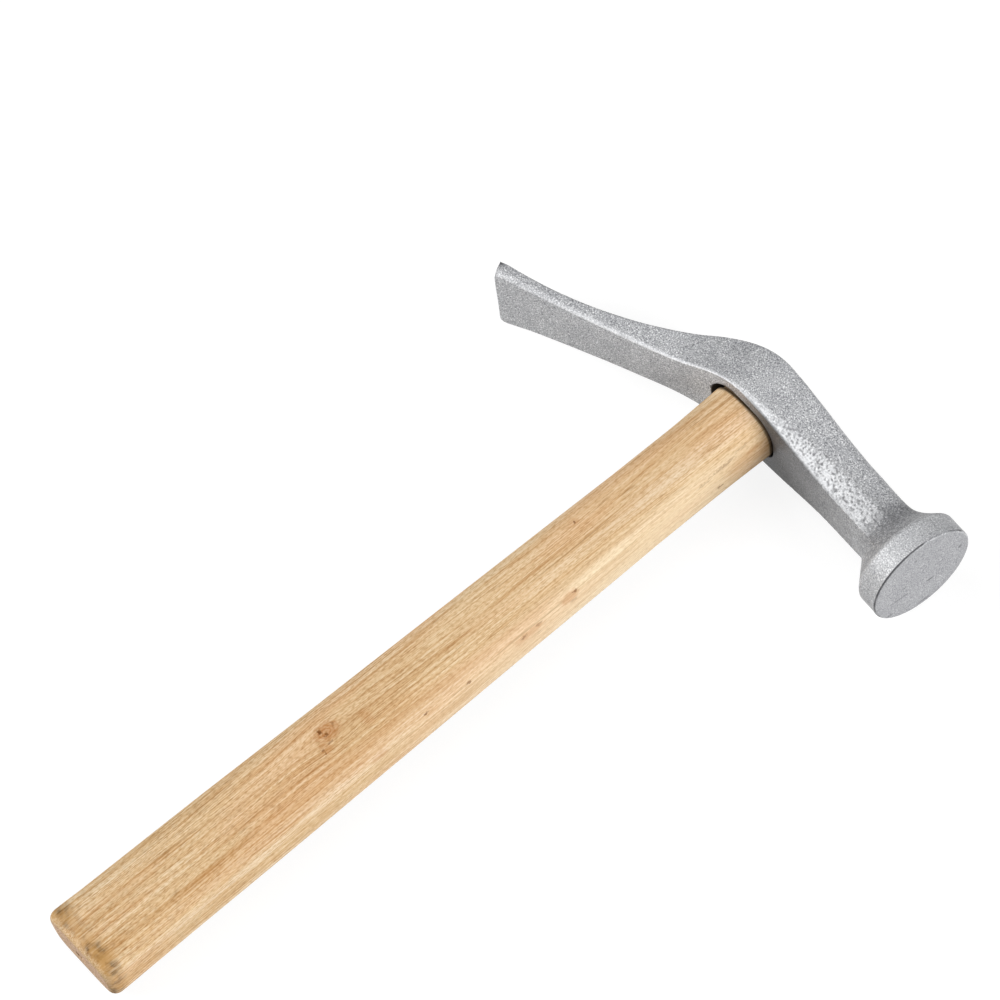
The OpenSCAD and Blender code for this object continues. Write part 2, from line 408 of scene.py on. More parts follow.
def oblong(l, w, r, middle, turn):
    """Point of a round-cornered oblong that a ray from its middle meets"""
    ray = np.array([math.cos(turn), math.sin(turn)])
    near, far = 0.0, l + w
    for _ in range(40):
        reach = (near + far) / 2
        past = np.abs(ray * reach) - np.array([l / 2 - r, w / 2 - r])
        outside = np.linalg.norm(np.maximum(past, 0)) + min(max(past), 0) - r
        near, far = (near, reach) if outside > 0 else (reach, far)
    return middle + ray[0] * reach, ray[1] * reach


def eye_ring(grow, height):
    """Ring of the eye, larger all round by grow, at the height that a function gives for each x"""
    ring = []
    for i in range(oval_steps):
        turn = 2 * math.pi * i / oval_steps
        x, z = oblong(eye_l + 2 * grow, eye_w + 2 * grow, eye_r + grow, eye_x, turn)
        ring.append((x, height(x), z))
    return ring


mouth_r = 0.5
mouth_sink = 0.05
top_bevel = 0.45
cutter_past = 3.0
mouth_rings = [eye_ring(mouth_r, lambda x: under(x) - cutter_past)]
for a in np.linspace(0, math.pi / 2, 6):
    grow, rise = mouth_r * (1 - math.sin(a)), mouth_r * (1 - math.cos(a))
    mouth_rings.append(eye_ring(grow, lambda x, rise=rise: under(x) + rise - mouth_sink))
for grow, rise in ((0, -0.35), (top_bevel, 0.2), (top_bevel, cutter_past)):
    mouth_rings.append(eye_ring(grow, lambda x, rise=rise: over(x) + rise))


def cut(piece, cutter):
    """Takes a cutter's shape out of a piece, and the cutter out of the scene"""
    tool = piece.modifiers.new("cut", "BOOLEAN")
    tool.operation = "DIFFERENCE"
    tool.solver = "EXACT"
    tool.object = cutter
    shown = piece.evaluated_get(bpy.context.evaluated_depsgraph_get())
    whole = bpy.data.meshes.new_from_object(shown)
    piece.modifiers.clear()
    piece.data = whole
    bpy.data.objects.remove(cutter)


cut(head, skin("eye_cutter", mouth_rings))


def smooth(piece, sharp_deg=40):
    """Smooth shading, apart from edges sharper than an angle"""
    piece.data.shade_smooth()
    piece.data.set_sharp_from_angle(angle=math.radians(sharp_deg))


smooth(head)


def paint_points(piece, name, amount):
    """Keeps a number with each point of a piece, for its material to read"""
    layer = piece.data.attributes.new(name, "FLOAT", "POINT")
    values = [amount(np.array(v.co) / MM) for v in piece.data.vertices]
    layer.data.foreach_set("value", values)


def face_line(p):
    """Painted shade along the edge of the ground face, which fades out towards the top of the poll"""
    return float(0.05 < behind_face(p)[0] < 0.5) * ease(p[1], face_y + 15, face_y + 12)


def face_skin(p):
    """The ground face of the poll, which is smoother than the forging"""
    behind, reach = behind_face(p)
    return float(behind < 0.05 and reach < poll_r - rim_edge)


def hollow_shade_skin(p):
    """The hollow behind the poll, darkened with painted shade"""
    behind = behind_face(p)[0]
    return ease(behind, rim_l + 0.1, rim_l + 1.0) * ease(behind, neck_start + 0.5, neck_start - 7)


def facet_highlight_skin(p):
    """The facets along the lower edges of the cheeks, with a painted highlight"""
    behind = behind_face(p)[0]
    height = p[1] - under(p[0])
    facet = facet_height(p[0])
    soft = 0.3 + 0.4 * facet
    uneven = 0.8 - 0.9 * noise.noise(Vector(p) / pit_mm + pit_seed)
    on_facet = ease(height, facet + soft, facet - 1.5 * soft) * ease(height, 0.0, 0.15) * uneven
    most = blend(1.0, 0.75, ease(p[0], 24, 42)) * blend(0.4, 1.0, ease(p[0], -64, -35))
    on_side = float(abs(p[2]) > half_w(p[0]) - 0.3)
    return most * on_facet * ease(behind, neck_start - 6, neck_start - 1) * on_side


def rim_skin(p):
    """The rim of the poll, which is trimmed smoother than the forging"""
    behind, reach = behind_face(p)
    return ease(behind, rim_l + 0.8, rim_l) * float(reach > poll_r - 1.5)


def eye_wall(p):
    """The eye's wall: unpainted steel, darkened further with painted shade"""
    past = np.abs(p[[0, 2]] - np.array([eye_x, 0])) - np.array([eye_l / 2 - eye_r, eye_w / 2 - eye_r])
    outside = np.linalg.norm(np.maximum(past, 0)) + min(max(past), 0) - eye_r
    return float(outside < 0.3 and under(p[0]) + mouth_sink < p[1] < over(p[0]) - 0.2)


def eye_grime(p):
    """Painted shade on the underside, beside the handle on the poll's side, where the handle shadows it"""
    on_underside = ease(p[1] - under(p[0]), 0.9, 0.2)
    return on_underside * ease(p[0], -8, 10) * ease(p[0], 60, 11)


paint_points(head, "eye_grime", eye_grime)
paint_points(head, "eye_wall", eye_wall)
paint_points(head, "pit_depth", pit_depth)
paint_points(head, "chipped", lambda p: min(1.0, 3 * chipped(p)))
paint_points(head, "face_line", face_line)
paint_points(head, "ground_face", face_skin)
paint_points(head, "trimmed_rim", rim_skin)
paint_points(head, "rubbed_facet", facet_highlight_skin)
paint_points(head, "neck_hollow", hollow_shade_skin)


def linear(hex_colour):
    """Linear colour from an sRGB hex value"""
    parts = [int(hex_colour[i:i + 2], 16) / 255 for i in (1, 3, 5)]
    return [c / 12.92 if c <= 0.04045 else ((c + 0.055) / 1.055) ** 2.4 for c in parts] + [1.0]


def put(tree, kind, settings={}, inputs={}):
    """Adds a node with its settings, and sets or links its inputs. In a Mix node of colours, inputs 6
    and 7 are the two colours, and output 2 is the mixed one."""
    node = tree.nodes.new(kind)
    for name, value in settings.items():
        if name == "stops":
            while len(node.color_ramp.elements) < len(value):
                node.color_ramp.elements.new(1.0)
            for element, (place, hex_colour) in zip(node.color_ramp.elements, value):
                element.position = place
                element.color = linear(hex_colour)
        else:
            setattr(node, name, value)
    for name, value in inputs.items():
        if isinstance(value, bpy.types.NodeSocket):
            tree.links.new(value, node.inputs[name])
        else:
            node.inputs[name].default_value = value
    return node


def new_material(name):
    """An empty node material, and its tree"""
    material = bpy.data.materials.new(name)
    material.use_nodes = True
    material.node_tree.nodes.clear()
    return material, material.node_tree


def spot_mask(tree, place_mm, spots):
    """Value that is a spot's strength in its middle and 0 outside it, for some round or long spots"""
    mask = 0.0
    for middle, radii, strength in spots:
        off = put(tree, "ShaderNodeVectorMath", {"operation": "SUBTRACT"}, {0: place_mm, 1: middle})
        share = put(tree, "ShaderNodeVectorMath", {"operation": "DIVIDE"}, {0: off.outputs[0], 1: radii})
        reach = put(tree, "ShaderNodeVectorMath", {"operation": "LENGTH"}, {0: share.outputs[0]})
        spot = put(tree, "ShaderNodeMapRange", {}, {
            "Value": reach.outputs["Value"], "From Min": 1.0, "From Max": 0.55, "To Max": strength})
        most = put(tree, "ShaderNodeMath", {"operation": "MAXIMUM"}, {0: spot.outputs[0], 1: mask})
        mask = most.outputs[0]
    return mask


# Silver paint on forged steel: aluminium flakes in a clear binder, sprayed thin over rough scale.
# It gives a speckled mid grey with a broad sheen, brighter where a surface leans to the light.
silver, tree = new_material("silver_paint_on_forged_steel")
place = put(tree, "ShaderNodeTexCoord")
place_mm = put(tree, "ShaderNodeVectorMath", {"operation": "SCALE"}, {
    0: place.outputs["Object"], "Scale": 1 / MM}).outputs[0]
ground = put(tree, "ShaderNodeAttribute", {"attribute_name": "ground_face"}).outputs["Fac"]
trimmed = put(tree, "ShaderNodeAttribute", {"attribute_name": "trimmed_rim"}).outputs["Fac"]
edge_shade = put(tree, "ShaderNodeAttribute", {"attribute_name": "face_line"}).outputs["Fac"]
pits = put(tree, "ShaderNodeAttribute", {"attribute_name": "pit_depth"}).outputs["Fac"]
chip = put(tree, "ShaderNodeAttribute", {"attribute_name": "chipped"}).outputs["Fac"]

# Flakes are far finer than 0.1 mm: their clusters are drawn 0.36 mm wide, so that they show
flake_mm = 0.36
cloud_mm = 6.0
grit_mm = 0.9
flakes = put(tree, "ShaderNodeTexNoise", {}, {
    "Vector": place_mm, "Scale": 1 / flake_mm, "Detail": 1.0, "Roughness": 0.5}).outputs["Fac"]
clouds = put(tree, "ShaderNodeTexNoise", {}, {
    "Vector": place_mm, "Scale": 1 / cloud_mm, "Detail": 2.0}).outputs["Fac"]
speckle = put(tree, "ShaderNodeValToRGB", {"stops": [
    (0.25, "#66676B"), (0.45, "#AAABAE"), (0.55, "#BDBEC0"), (0.75, "#FBFBFC")]}, {"Fac": flakes})
cloud = put(tree, "ShaderNodeValToRGB", {"stops": [(0.35, "#EFEFF0"), (0.65, "#FFFFFF")]}, {"Fac": clouds})
painted = put(tree, "ShaderNodeMix", {"data_type": "RGBA", "blend_type": "MULTIPLY"}, {
    0: 1.0, 6: speckle.outputs["Color"], 7: cloud.outputs["Color"]})
rim_share = put(tree, "ShaderNodeMath", {"operation": "MULTIPLY"}, {0: trimmed, 1: 0.35})
painted = put(tree, "ShaderNodeMix", {"data_type": "RGBA"}, {
    0: rim_share.outputs[0], 6: painted.outputs[2], 7: linear("#B4B5B7")})
# Painted highlight: the facets along the cheeks' lower edges are mixed towards a pale #E8E9EB
facet_highlight = put(tree, "ShaderNodeAttribute", {"attribute_name": "rubbed_facet"}).outputs["Fac"]
facet_highlight_share = put(tree, "ShaderNodeMath", {"operation": "MULTIPLY"}, {0: facet_highlight, 1: 0.74})
highlighted = put(tree, "ShaderNodeMix", {"data_type": "RGBA"}, {
    0: facet_highlight_share.outputs[0], 6: painted.outputs[2], 7: linear("#E8E9EB")})
# Painted shade in the hollow behind the poll, broken by a gritty noise and mixed towards #6A6A6C together
# with the dark of the pits
hollow = put(tree, "ShaderNodeAttribute", {"attribute_name": "neck_hollow"}).outputs["Fac"]
grit = put(tree, "ShaderNodeTexNoise", {}, {
    "Vector": place_mm, "Scale": 1 / grit_mm, "Detail": 1.0}).outputs["Fac"]
gritty = put(tree, "ShaderNodeMapRange", {}, {
    "Value": grit, "From Min": 0.38, "From Max": 0.62, "To Min": 0.45, "To Max": 0.95})
hollow_shade_share = put(tree, "ShaderNodeMath", {"operation": "MULTIPLY"}, {0: hollow, 1: gritty.outputs[0]})
pits_and_neck_shade = put(tree, "ShaderNodeMath", {"operation": "MAXIMUM"}, {0: hollow_shade_share.outputs[0], 1: pits})
pit_and_shade_share = put(tree, "ShaderNodeMath", {"operation": "MULTIPLY"}, {0: pits_and_neck_shade.outputs[0], 1: 0.78})
pits_and_shade = put(tree, "ShaderNodeMix", {"data_type": "RGBA"}, {
    0: pit_and_shade_share.outputs[0], 6: highlighted.outputs[2], 7: linear("#6A6A6C")})
# Painted shade: the underside beside the handle is darkened towards #3A3A3C
eye_shade = put(tree, "ShaderNodeAttribute", {"attribute_name": "eye_grime"}).outputs["Fac"]
eye_shade_share = put(tree, "ShaderNodeMath", {"operation": "MULTIPLY"}, {0: eye_shade, 1: 0.86})
eye_shaded = put(tree, "ShaderNodeMix", {"data_type": "RGBA"}, {
    0: eye_shade_share.outputs[0], 6: pits_and_shade.outputs[2], 7: linear("#3A3A3C")})
face_share = put(tree, "ShaderNodeMath", {"operation": "MULTIPLY"}, {0: ground, 1: 0.5})
face_tone = put(tree, "ShaderNodeMix", {"data_type": "RGBA"}, {
    0: face_share.outputs[0], 6: eye_shaded.outputs[2], 7: linear("#77777B")})

# Nicks in the face, by their middle, radii and strength, and a painted shade around the face's edge,
# broken up by noise
nicks = (
    ((63.7, face_y + 2.5, -5.0), (1.0, 1.7, 0.5), 0.7),
    ((63.0, face_y - 7.2, -4.3), (1.0, 4.0, 0.35), 0.5),
    ((63.2, face_y - 5.6, -0.3), (1.0, 1.2, 0.35), 0.55),
    ((63.4, face_y - 1.9, 9.4), (1.0, 0.6, 0.6), 0.5),
    ((63.5, face_y + 0.2, -13.5), (1.0, 2.6, 0.45), 0.6),
    ((62.8, face_y - 10.6, -9.3), (1.0, 1.8, 0.6), 0.5),
    ((64.3, face_y + 12.2, 1.0), (1.0, 0.8, 0.8), 0.6),
)
nicked = put(tree, "ShaderNodeMath", {"operation": "MULTIPLY"}, {
    0: spot_mask(tree, place_mm, nicks), 1: ground})
broken = put(tree, "ShaderNodeMapRange", {}, {
    "Value": clouds, "From Min": 0.35, "From Max": 0.5, "To Min": 0.25, "To Max": 1.0})
edge_shade_share = put(tree, "ShaderNodeMath", {"operation": "MULTIPLY"}, {0: edge_shade, 1: broken.outputs[0]})
marks_and_edge_shade = put(tree, "ShaderNodeMath", {"operation": "MAXIMUM"}, {
    0: nicked.outputs[0], 1: edge_shade_share.outputs[0]})
# Painted shade inside the eye: its wall is darkened to #47474A, like the chips
eye_wall_shade = put(tree, "ShaderNodeAttribute", {"attribute_name": "eye_wall"}).outputs["Fac"]
bare_and_shaded = put(tree, "ShaderNodeMath", {"operation": "MAXIMUM"}, {0: eye_wall_shade, 1: chip})
# worn gathers the nicks and chips with the painted shade at the face's edge and in the eye
worn = put(tree, "ShaderNodeMath", {"operation": "MAXIMUM"}, {0: marks_and_edge_shade.outputs[0], 1: bare_and_shaded.outputs[0]})
edged = put(tree, "ShaderNodeMix", {"data_type": "RGBA"}, {
    0: worn.outputs[0], 6: face_tone.outputs[2], 7: linear("#47474A")})

# The spray's orange peel stands about 0.05 mm high, and 0.02 mm on the face and the rim
peeled = put(tree, "ShaderNodeMath", {"operation": "MAXIMUM"}, {0: ground, 1: trimmed})
peel = put(tree, "ShaderNodeMapRange", {}, {
    "Value": peeled.outputs[0], "To Min": 0.05 * MM, "To Max": 0.02 * MM})
skin_bump = put(tree, "ShaderNodeBump", {}, {"Distance": peel.outputs[0], "Height": flakes})
gloss = put(tree, "ShaderNodeMapRange", {}, {
    "Value": flakes, "From Min": 0.3, "From Max": 0.7, "To Min": 0.5, "To Max": 0.38})
rim_gloss = put(tree, "ShaderNodeMath", {"operation": "MULTIPLY_ADD"}, {
    0: trimmed, 1: 0.07, 2: gloss.outputs[0]})
paint_shader = put(tree, "ShaderNodeBsdfPrincipled", {}, {
    "Base Color": edged.outputs[2], "Metallic": 0.12, "Roughness": rim_gloss.outputs[0],
    "Normal": skin_bump.outputs["Normal"]})
put(tree, "ShaderNodeOutputMaterial", {}, {"Surface": paint_shader.outputs["BSDF"]})
head.data.materials.append(silver)
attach(head, "root")
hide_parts("hammer_head")

# Handle: one length of pale straight-grained ash, shaved to a rounded oblong that swells to the
# butt, sanded and varnished. Its top is a tenon that is driven through the eye and wedged there.

butt_w = 24.0
butt_t = 17.8
throat_w = 19.0
throat_t = 16.6
throat_drop = 38.0
throat_y = grip_l - throat_drop
grip_square = 4.5
mouth_square = 3.0
taper_bow = 1.2
butt_bevel = 1.8
butt_bevel_l = 2.6
centre_d = 3.0
centre_depth = 6.0
tenon_inset = 0.6
spread_l = 6.8
tenon_proud = 0.4
top_y = grip_l + head_depth + tenon_proud
spread_y = top_y - spread_l


def along(y, butt, throat, mouth):
    """Size of the grip at a height, from its sizes at the butt, the throat and the eye's mouth"""
    if y < throat_y:
        return blend(butt, throat, (y / throat_y) ** taper_bow)
    return blend(throat, mouth, ((y - throat_y) / throat_drop) ** 2)


def grip_ring(y, inset=0.0):
    square = blend(grip_square, mouth_square, ease(y, throat_y, grip_l))
    w = along(y, butt_w, throat_w, mouth_w) / 2 - inset
    t = along(y, butt_t, throat_t, mouth_t) / 2 - inset
    ring = []
    for i in range(oval_steps):
        turn = 2 * math.pi * i / oval_steps
        c, s = math.cos(turn), math.sin(turn)
        ring.append((
            math.copysign(w * abs(c) ** (2 / square), c), y,
            math.copysign(t * abs(s) ** (2 / square), s)))
    return ring


def round_ring(radius, y):
    turns = [2 * math.pi * i / oval_steps for i in range(oval_steps)]
    return [(radius * math.cos(t), y, radius * math.sin(t)) for t in turns]


def tenon_ring(l, w, r, middle, y):
    turns = [2 * math.pi * i / oval_steps for i in range(oval_steps)]
    points = [oblong(l, w, r, middle, t) for t in turns]
    return [(x, y, z) for x, z in points]


# From the bottom of the lathe centre's hole out over the butt end, around its bevel and up the grip
centre_r = centre_d / 2
rings = [round_ring(0.2, centre_depth), round_ring(centre_r, centre_depth - 1.2)]
rings += [round_ring(centre_r, 0.3), round_ring(centre_r + 0.25, 0.0)]
butt_ends = list(zip(np.array(rings[-1]), np.array(grip_ring(0, butt_bevel))))
rings += [[tuple(blend(a, b, share)) for a, b in butt_ends] for share in (0.25, 0.5, 0.75)]
for a in np.linspace(0, math.pi / 2, 8):
    rings.append(grip_ring(butt_bevel_l * (1 - math.cos(a)), butt_bevel * (1 - math.sin(a))))
rings += [grip_ring(y) for y in spaced(butt_bevel_l + 0.6, grip_l - 4, 1.5)]
rings += [grip_ring(y) for y in spaced(grip_l - 3.6, grip_l - 0.4, 0.35)]
rings += [grip_ring(grip_l - 0.1, 0.12), grip_ring(grip_l, 0.35)]

# The tenon is slimmer than the eye's mouth, its wedged end fills the eye, and its top edge is rounded
tenon_size = (mouth_w - 2 * tenon_inset, mouth_t - 2 * tenon_inset, eye_r - tenon_inset, 0)
rings += [tenon_ring(*tenon_size, y) for y in (grip_l + 0.02, spread_y)]
fit = 0.02
spread_w, spread_t = eye_l - 2 * fit, eye_w - 2 * fit
for y in (spread_y + 0.05, spread_y + 3, top_y - 0.5):
    rings.append(tenon_ring(spread_w, spread_t, eye_r - fit, eye_x, y))
for less, less_r, drop in ((0.35, 0.2, 0.12), (1.0, 0.5, 0)):
    rings.append(tenon_ring(spread_w - less, spread_t - less, eye_r - less_r, eye_x, top_y - drop))
for share in (0.7, 0.35, 0.05):
    rings.append(tenon_ring(spread_w * share, spread_t * share, eye_r * share, eye_x, top_y))

# The butt end is sawn a little out of square
saw_lean = math.tan(math.radians(4.0))
saw_reach = 14.0


def saw_rise(z):
    """Height of the sawn butt end above its lowest edge"""
    return saw_lean * max(0.0, butt_t / 2 - butt_bevel - z)


rings = [[(x, y + saw_rise(z) * ease(y, saw_reach, 3), z) for x, y, z in ring] for ring in rings]
handle = skin("ash_handle", rings)

# The shaving left slow waves in the grip, which lie inside its size
shave_h = 0.16
shave_inset = 0.12
shave_w = 14.0
shave_l = 45.0


def shaved(p):
    """Slow unevenness of the shaving in mm, which leaves the two ends as they are"""
    calm = ease(p[1], 4, 12) * ease(p[1], grip_l - 4, grip_l - 20)
    place = Vector((p[0] / shave_w, p[1] / shave_l, p[2] / shave_w))
    return calm * (shave_h * noise.noise(place) - shave_inset)


shift_skin(handle, shaved)

# Saw kerf for the wooden wedge, and the cuts that the two steel wedges make across it
wood_wedge_l = 10.0
wood_wedge_t = 3.2
steel_wedge_l = 7.5
steel_wedge_w = 11.0
steel_wedge_t = 2.0
steel_wedge_pitch = 11.6
wedge_point_t = 0.8


def wedge_rings(l, t, half_width, across, tail):
    """Rings of a wedge from its point to its head, which a tail lengthens into a cutter. It lies
    along the head, or across it at the x that is given."""
    flat = [(-1, -1), (1, -1), (1, 1), (-1, 1)]
    levels = []
    for y, thick in ((top_y - l, wedge_point_t), (top_y, t), (top_y + tail, t)):
        if across is None:
            levels.append([(eye_x + a * half_width, y, b * thick / 2) for a, b in flat])
        else:
            levels.append([(across + a * thick / 2, y, b * half_width) for a, b in flat])
    return levels


cutter_tail = 1.0
cut(handle, skin("kerf_cutter", wedge_rings(wood_wedge_l, wood_wedge_t, eye_l, None, cutter_tail)))
for side in (1, -1):
    across = eye_x + side * steel_wedge_pitch / 2
    slot_rings = wedge_rings(steel_wedge_l, steel_wedge_t, steel_wedge_w / 2, across, cutter_tail)
    cut(handle, skin("steel_cutter", slot_rings))
smooth(handle)


def end_grain(p):
    """The sawn ends, where the grain stands on end"""
    in_centre = p[1] < centre_depth + 1 and math.hypot(p[0], p[2]) < centre_d / 2 + 1
    return float(p[1] < saw_rise(p[2]) + 0.05 or p[1] > top_y - 0.2 or in_centre)


def stained(p):
    """Dirt above the butt's bevel, most of it in two patches, and a little where a hand grips"""
    above_edge = ease(p[1], 8.0, 2.5) * blend(0.25, 1.0, ease(p[1], 0.3, 1.4))
    patches = max(ease(p[0], -3, -7), ease(p[0], -1, 3) * ease(p[0], 14, 10))
    return max(above_edge * blend(0.4, 1.0, patches), 0.15 * ease(p[1], 130, 10))


def sapwood(p):
    """Painted light along the side that faces the poll and its corners, most of it in the upper half"""
    w = along(p[1], butt_w, throat_w, mouth_w) / 2
    t = along(p[1], butt_t, throat_t, mouth_t) / 2
    from_corner = (p[0] - w) - (abs(p[2]) - t)
    return ease(from_corner, -5.0, 0.5) * ease(p[1], 50, 160) * ease(p[1], 222, 198)


def mouth_dirt(p):
    """Painted shadow in the narrow gap where the handle goes into the eye"""
    return ease(p[1], under(p[0]) - 0.8, under(p[0]) - 0.2) * float(p[1] < spread_y)


paint_points(handle, "mouth_dirt", mouth_dirt)
paint_points(handle, "end_grain", end_grain)
paint_points(handle, "stained", stained)
paint_points(handle, "sapwood", sapwood)

# Varnished ash: long pale fibres with fine brown pores along them, and slow bands of colour from
# the growth rings. The thin satin varnish gives a soft sheen along the corners.
ash, tree = new_material("varnished_ash")
place = put(tree, "ShaderNodeTexCoord")
place_mm = put(tree, "ShaderNodeVectorMath", {"operation": "SCALE"}, {
    0: place.outputs["Object"], "Scale": 1 / MM}).outputs[0]

# The grain wanders a little, and flows around a small knot
knot_at = (-1.9, 82.0, 8.8)
knot_reach = (4.5, 8.0, 4.5)
from_knot = put(tree, "ShaderNodeVectorMath", {"operation": "SUBTRACT"}, {0: place_mm, 1: knot_at})
knot_share = put(tree, "ShaderNodeVectorMath", {"operation": "DIVIDE"}, {
    0: from_knot.outputs[0], 1: knot_reach})
knot_off = put(tree, "ShaderNodeVectorMath", {"operation": "DOT_PRODUCT"}, {
    0: knot_share.outputs[0], 1: knot_share.outputs[0]})
knot_pull = put(tree, "ShaderNodeMath", {"operation": "POWER"}, {0: 0.4, 1: knot_off.outputs["Value"]})
knot_axes = put(tree, "ShaderNodeSeparateXYZ", {}, {0: from_knot.outputs[0]})
knot_bend = put(tree, "ShaderNodeMath", {"operation": "MULTIPLY"}, {
    0: knot_pull.outputs[0], 1: knot_axes.outputs[0]})
axes = put(tree, "ShaderNodeSeparateXYZ", {}, {0: place_mm})
wander_mm = (12.0, 55.0, 12.0)
wander_by = 2.2
wander_place = put(tree, "ShaderNodeVectorMath", {"operation": "DIVIDE"}, {0: place_mm, 1: wander_mm})
wander = put(tree, "ShaderNodeTexNoise", {}, {
    "Vector": wander_place.outputs[0], "Scale": 1.0, "Detail": 0.0})
wander_x = put(tree, "ShaderNodeMath", {"operation": "MULTIPLY_ADD"}, {
    0: wander.outputs["Fac"], 1: wander_by, 2: axes.outputs[0]})
bent_x = put(tree, "ShaderNodeMath", {"operation": "MULTIPLY_ADD"}, {
    0: knot_bend.outputs[0], 1: -0.5, 2: wander_x.outputs[0]})
grain = put(tree, "ShaderNodeCombineXYZ", {}, {
    0: bent_x.outputs[0], 1: axes.outputs[1], 2: axes.outputs[2]}).outputs[0]

# Each layer of the grain has a width across it and a length along it, in mm. Pores are finer than
# 0.3 mm in ash, and are drawn as wide as that.
layer_mm = ((6.0, 170.0), (0.75, 60.0), (0.3, 22.0), (3.0, 130.0), (0.32, 1.3), (9.0, 45.0))
layers = []
for width, length in layer_mm:
    fibre = put(tree, "ShaderNodeVectorMath", {"operation": "DIVIDE"}, {
        0: grain, 1: (width, length, width)})
    layers.append(put(tree, "ShaderNodeTexNoise", {}, {
        "Vector": fibre.outputs[0], "Scale": 1.0, "Detail": 1.0}).outputs["Fac"])
bands, stripes, pores, rings_cut, flecks, blushes = layers
band_stops = [(0.30, "#DDC4A0"), (0.45, "#E6D0AE"), (0.58, "#EAD6B7"), (0.72, "#EEDDC3")]
tone = put(tree, "ShaderNodeValToRGB", {"stops": band_stops}, {"Fac": bands}).outputs["Color"]
blush = put(tree, "ShaderNodeMapRange", {}, {
    "Value": blushes, "From Min": 0.48, "From Max": 0.68, "To Max": 0.38})
tone = put(tree, "ShaderNodeMix", {"data_type": "RGBA"}, {
    0: blush.outputs[0], 6: tone, 7: linear("#EAC6A3")}).outputs[2]

# The stripes, pores and flecks show more towards the butt, where a hand has worn the varnish
grip_wear = put(tree, "ShaderNodeMapRange", {}, {
    "Value": axes.outputs[1], "From Min": 200.0, "From Max": 50.0, "To Min": 0.75})
for layer, stops in (
        (stripes, [(0.32, "#EDE0CF"), (0.5, "#F9F4ED"), (0.65, "#FFFFFF")]),
        (pores, [(0.30, "#DAC5AA"), (0.44, "#F5ECE0"), (0.54, "#FFFFFF")]),
        (flecks, [(0.30, "#DDCFBB"), (0.5, "#F9F4ED"), (0.62, "#FFFFFF")])):
    shade = put(tree, "ShaderNodeValToRGB", {"stops": stops}, {"Fac": layer})
    faded = put(tree, "ShaderNodeMix", {"data_type": "RGBA"}, {
        0: grip_wear.outputs[0], 6: linear("#FAF6F1"), 7: shade.outputs["Color"]})
    tone = put(tree, "ShaderNodeMix", {"data_type": "RGBA", "blend_type": "MULTIPLY"}, {
        0: 1.0, 6: tone, 7: faded.outputs[2]}).outputs[2]

# Thin brown lines where growth rings come to the surface, broken along their length
ring_off = put(tree, "ShaderNodeMath", {"operation": "PINGPONG"}, {0: rings_cut, 1: 0.07})
ring_line = put(tree, "ShaderNodeMapRange", {}, {
    "Value": ring_off.outputs[0], "From Min": 0.007, "From Max": 0.0, "To Max": 0.8})
ring_share = put(tree, "ShaderNodeMapRange", {}, {
    "Value": stripes, "From Min": 0.62, "From Max": 0.42, "To Min": 0.15})
ring_mix = put(tree, "ShaderNodeMath", {"operation": "MULTIPLY"}, {
    0: ring_line.outputs[0], 1: ring_share.outputs[0]})
tone = put(tree, "ShaderNodeMix", {"data_type": "RGBA"}, {
    0: ring_mix.outputs[0], 6: tone, 7: linear("#9E7748")}).outputs[2]

# Painted light on the side that faces the poll, and the brown dirt at the butt in blotches
blotch_mm = 2.4
pale_light = put(tree, "ShaderNodeAttribute", {"attribute_name": "sapwood"}).outputs["Fac"]
pale_light_share = put(tree, "ShaderNodeMath", {"operation": "MULTIPLY"}, {0: pale_light, 1: 0.25})
tone = put(tree, "ShaderNodeMix", {"data_type": "RGBA"}, {
    0: pale_light_share.outputs[0], 6: tone, 7: linear("#F2E7CC")}).outputs[2]
stain = put(tree, "ShaderNodeAttribute", {"attribute_name": "stained"}).outputs["Fac"]
stain_share = put(tree, "ShaderNodeMapRange", {}, {
    "Value": stripes, "From Min": 0.3, "From Max": 0.6, "To Min": 1.0, "To Max": 0.75})
stain_mix = put(tree, "ShaderNodeMath", {"operation": "MULTIPLY"}, {0: stain, 1: stain_share.outputs[0]})
blotch = put(tree, "ShaderNodeTexNoise", {}, {
    "Vector": place_mm, "Scale": 1 / blotch_mm, "Detail": 2.0})
stain_tone = put(tree, "ShaderNodeValToRGB", {"stops": [
    (0.36, "#5F4219"), (0.47, "#936C38"), (0.6, "#AD854F")]}, {"Fac": blotch.outputs["Fac"]})
tone = put(tree, "ShaderNodeMix", {"data_type": "RGBA"}, {
    0: stain_mix.outputs[0], 6: tone, 7: stain_tone.outputs["Color"]}).outputs[2]

